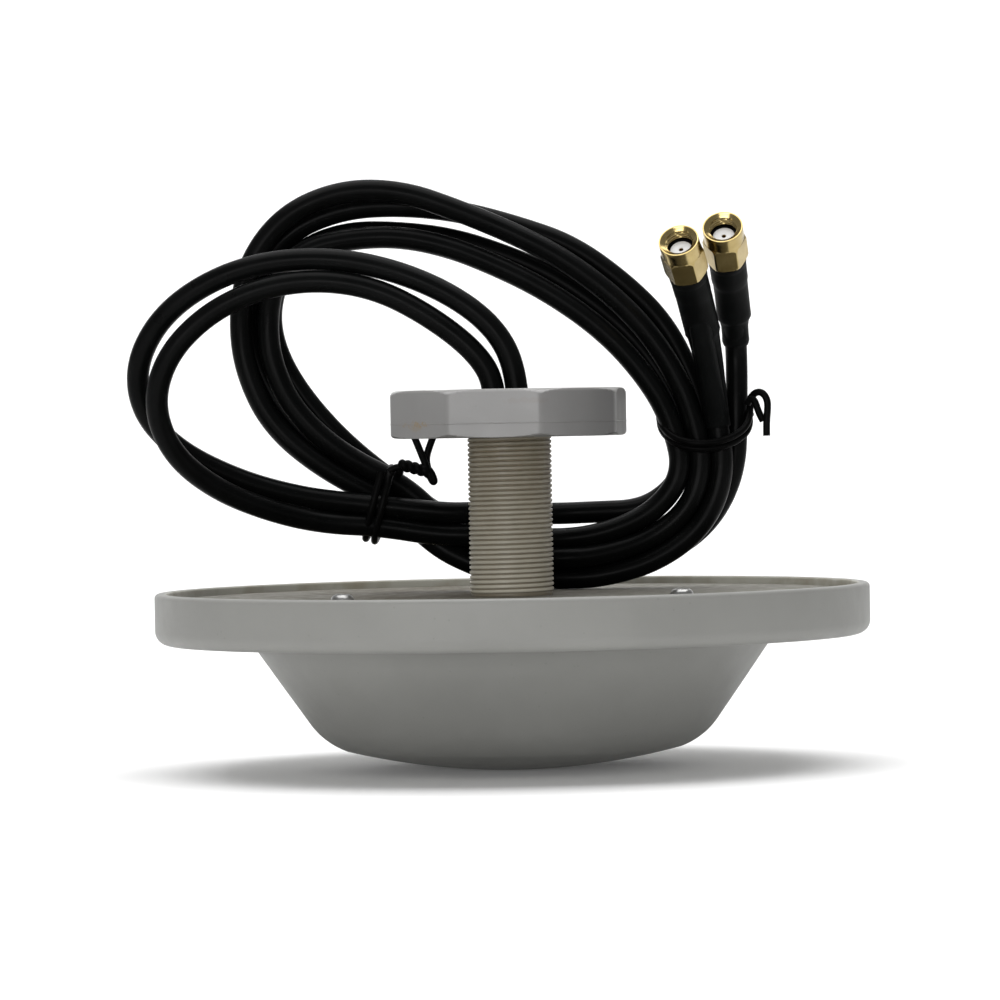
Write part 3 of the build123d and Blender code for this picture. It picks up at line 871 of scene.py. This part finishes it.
# Depth behind the mouth and radius of each sleeve's outside, and the radius of its inside round the lead
sleeve_bore = 2.66
sleeve_outlines = {
    "left": [
        (11.2, 4.3), (11.35, 4.5), (12.8, 4.52), (13.1, 4.42), (13.6, 4.4), (15.8, 4.38), (18.2, 4.38),
        (18.6, 4.3), (21.0, 4.28), (25.0, 4.26), (30.0, 4.2), (30.8, 4.26), (31.2, 4.08), (32.0, 3.84),
        (34.5, 3.66), (37.0, 3.54), (40.0, 3.4), (45.0, 3.24), (50.0, 3.12), (54.6, 3.02), (55.0, 2.8),
    ],
    "right": [
        (11.2, 4.3), (11.35, 4.5), (12.2, 4.5), (12.6, 4.38), (13.2, 4.36), (15.8, 4.34), (18.2, 4.36),
        (18.7, 4.2), (20.0, 4.12), (24.0, 4.06), (28.4, 4.06), (30.2, 4.12), (30.8, 3.8), (31.5, 3.5),
        (33.0, 3.24), (35.2, 3.2), (36.8, 3.28), (37.6, 3.04), (38.0, 2.85),
    ],
}


def behind(word, depth):
    """The middle of the connector or its lead at a depth behind the mouth, and the way towards the mouth."""
    if depth <= tail_start:
        return mouths[word] - mouth_ways[word] * depth, mouth_ways[word]
    left_over = depth - tail_start
    for near, far in zip(lead_lines[word], lead_lines[word][1:]):
        step = (far - near).length
        if left_over <= step:
            return near.lerp(far, left_over / step), (near - far).normalized()
        left_over -= step
    raise ValueError(f"the lead is shorter than {depth} mm")


def ring_at(word, depth, radius, steps=40):
    """A slightly crinkled ring round the connector or its lead at a depth behind the mouth."""
    middle, way = behind(word, depth)
    across = (Vector((1, 0, 0)) - way * way.x).normalized()
    up = way.cross(across)
    ring = []
    for step in range(steps):
        angle = 2 * math.pi * step / steps
        crinkle = 0.05 * noise.noise(Vector((2.2 * math.cos(angle), 2.2 * math.sin(angle), depth * 0.5)))
        ring.append(middle + (across * math.cos(angle) + up * math.sin(angle)) * (radius + crinkle))
    return ring


for word, mouth in mouths.items():
    mouth_way = mouth_ways[word]
    side_way = (Vector((1, 0, 0)) - mouth_way * mouth_way.x).normalized()
    axes = Matrix((side_way, mouth_way.cross(side_way), mouth_way)).transposed().to_4x4()
    place = Matrix.Translation(mouth) @ axes
    shape = partial(coupling_shape, flat_angle=math.radians(hex_turn[word]))
    coupling = lathe(coupling_outline, 180, place, shape)
    collar_node = f"coupling_nut_{word}"
    made = [solid(f"coupling_{word}", [coupling], f"collar_{word}", "gold_plate", [collar_node], crease=24)]
    for kind, outline, slot, node_name in (
        ("shell", body_outline, "gold_plate", "connector_body"),
        ("dielectric", dielectric_outline, "white_insulator", "insulator"),
        ("socket", contact_outline, "gold_plate", "centre_contact"),
        ("seal", gasket_outline, "black_rubber", "gasket"),
    ):
        shell = lathe(outline, 72, place)
        made.append(solid(f"{kind}_{word}", [shell], "antenna", slot, [f"{node_name}_{word}"]))
    outline = sleeve_outlines[word]
    stations = [(12.4, 3.5), (11.4, 3.6)] + outline
    stations += [(outline[-1][0], sleeve_bore), (22.0, sleeve_bore), (20.0, 3.28)]
    sleeve = loft([ring_at(word, depth, radius) for depth, radius in stations])
    made.append(
        solid(f"sleeve_{word}", [sleeve], "antenna", "shrink_sleeve", [f"heat_shrink_{word}"], crease=40)
    )


# ---------------------------------------------------------------- twist ties
def wraps(middle, way, width_way, half_width, half_height, lean, turns=2, pitch=2.2):
    """Control points of a wire wound round the bundle, climbing along the bundle as it goes."""
    rise_way = way.cross(width_way).normalized()
    points = []
    steps = 8
    for step in range(turns * steps + 1):
        angle = lean + 2 * math.pi * step / steps
        climb = (step / steps - turns / 2) * pitch
        # A squared-off round, as a wire pulled tight over round strands
        reach = (abs(math.cos(angle)) ** 3 + abs(math.sin(angle)) ** 3) ** (-1 / 3)
        across = width_way * half_width * reach * math.cos(angle)
        points.append(middle + across + rise_way * half_height * reach * math.sin(angle) + way * climb)
    return points


def twisted(start, end, reach, turns, phase):
    """Control points of one of two wires twisted round each other from start to end."""
    start = Vector(start)
    run = Vector(end) - start
    side = run.cross(Vector((0, 1, 0))).normalized()
    up = run.cross(side).normalized()
    points = []
    steps = 6
    for step in range(turns * steps + 1):
        angle = phase + 2 * math.pi * step / steps
        off = side * math.cos(angle) + up * math.sin(angle)
        points.append(start + run * (step / (turns * steps)) + off * reach)
    return points


tie_radius = 0.85

# Left tie: two turns, a knot of both ends twisted together, and two legs that stand up from it
left_wraps = wraps(
    Vector((-30.5, 37.2, 60.8)),
    Vector((0.955, 0, -0.298)).normalized(),
    Vector((0, 1, 0)),
    half_width=8.9,
    half_height=9.6,
    lean=2.4,
)
knot_start, knot_end = (-25.8, 29.0, 70.2), (-19.2, 29.0, 68.3)
first_leg = [(-17.5, 29.0, 65.8), (-18.6, 29.0, 65.6), (-20.0, 28.6, 70.8), (-23.4, 29.0, 79.0)]
second_leg = [(-18.2, 29.4, 66.8), (-20.6, 29.8, 71.4), (-18.2, 29.4, 75.6), (-17.2, 29.4, 79.0)]
into_knot = [(-28.6, 29.6, 68.6), (-27.0, 29.4, 69.6)]
first_twist = twisted(knot_start, knot_end, 0.8, 2, 0.0)
second_twist = twisted(knot_start, knot_end, 0.8, 2, math.pi)

# Right tie: two turns, a hook at the end of one wire and a short bent end beside it
right_wraps = wraps(
    Vector((46.5, 38.0, 79.5)),
    Vector((-0.10, -0.66, 0.75)).normalized(),
    Vector((1, 0, 0)),
    half_width=11.2,
    half_height=10.4,
    lean=0.3,
    pitch=1.85,
)
hook = [(57.2, 36.5, 84.6), (59.6, 34.5, 86.6), (62.0, 34.0, 83.6), (60.9, 34.0, 79.6), (61.0, 34.0, 75.4)]
short_end = [(56.6, 36.0, 83.0), (57.4, 35.2, 84.6), (58.6, 34.6, 84.0), (59.0, 34.2, 81.2)]
short_end += [(60.2, 34.6, 79.0)]

for name, points, nodes in (
    ("twist_left_a", left_wraps + first_twist + first_leg, ["twist_tie_left"]),
    ("twist_left_b", into_knot + second_twist + second_leg, []),
    ("twist_right_a", right_wraps + hook, ["twist_tie_right"]),
    ("twist_right_b", short_end, []),
):
    finished(wire(name, points, tie_radius, order=4, sides=5), "antenna", "tie_coating", *nodes)

# ---------------------------------------------------------------- floor, backdrop and light
backdrop_finish = Finish("studio_paper", Roughness=0.9, Emission_Color=(1, 1, 1, 1), Emission_Strength=0.05)
backdrop_finish.use(
    Base_Color=backdrop_finish.mix(backdrop_finish.noise(300.0), (0.90, 0.90, 0.90), (0.92, 0.92, 0.92))
)
# A white sweep: a flat floor that curves up into a wall behind, as places along Y and Z
sweep = [(-6.0, 0.0)]
sweep += arc((1.2, 0.0), (2.26, 0.44), (2.7, 1.5), 24)
sweep += [(2.7, 5.0)]
paper = bmesh.new()
left_edge, right_edge = ([paper.verts.new((x, y, z)) for y, z in sweep] for x in (-6.0, 6.0))
for i in range(len(sweep) - 1):
    paper.faces.new((left_edge[i], right_edge[i], right_edge[i + 1], left_edge[i + 1]))
paper_mesh = bpy.data.meshes.new("studio_sweep")
paper.to_mesh(paper_mesh)
paper.free()
paper_mesh.shade_smooth()
paper_mesh.materials.append(backdrop_finish.material)
backdrop = bpy.data.objects.new("studio_sweep", paper_mesh)
bpy.context.collection.objects.link(backdrop)


def softbox(name, place, target, width, height, power):
    """A rectangular lamp in metres and watts that faces a target."""
    light = bpy.data.lights.new(name, "AREA")
    light.shape = "RECTANGLE"
    light.size = width
    light.size_y = height
    light.energy = power
    lamp = bpy.data.objects.new(name, light)
    bpy.context.collection.objects.link(lamp)
    lamp.location = place
    lamp.rotation_euler = (Vector(target) - Vector(place)).to_track_quat("-Z", "Y").to_euler()


world = bpy.data.worlds.new("studio")
world.use_nodes = True
background = world.node_tree.nodes["Background"]
background.inputs["Color"].default_value = (1, 1, 1, 1)
background.inputs["Strength"].default_value = 0.30
bpy.context.scene.world = world
softbox("top", (0.0, -0.1, 1.5), (0, 0, 0.05), 1.7, 1.3, 22.0)
softbox("front_low", (-0.7, -2.3, 0.28), (0, 0, 0.07), 1.8, 0.45, 17.0)
softbox("backdrop", (0.0, 1.2, 2.4), (0, 2.6, 0.5), 3.0, 0.6, 45.0)
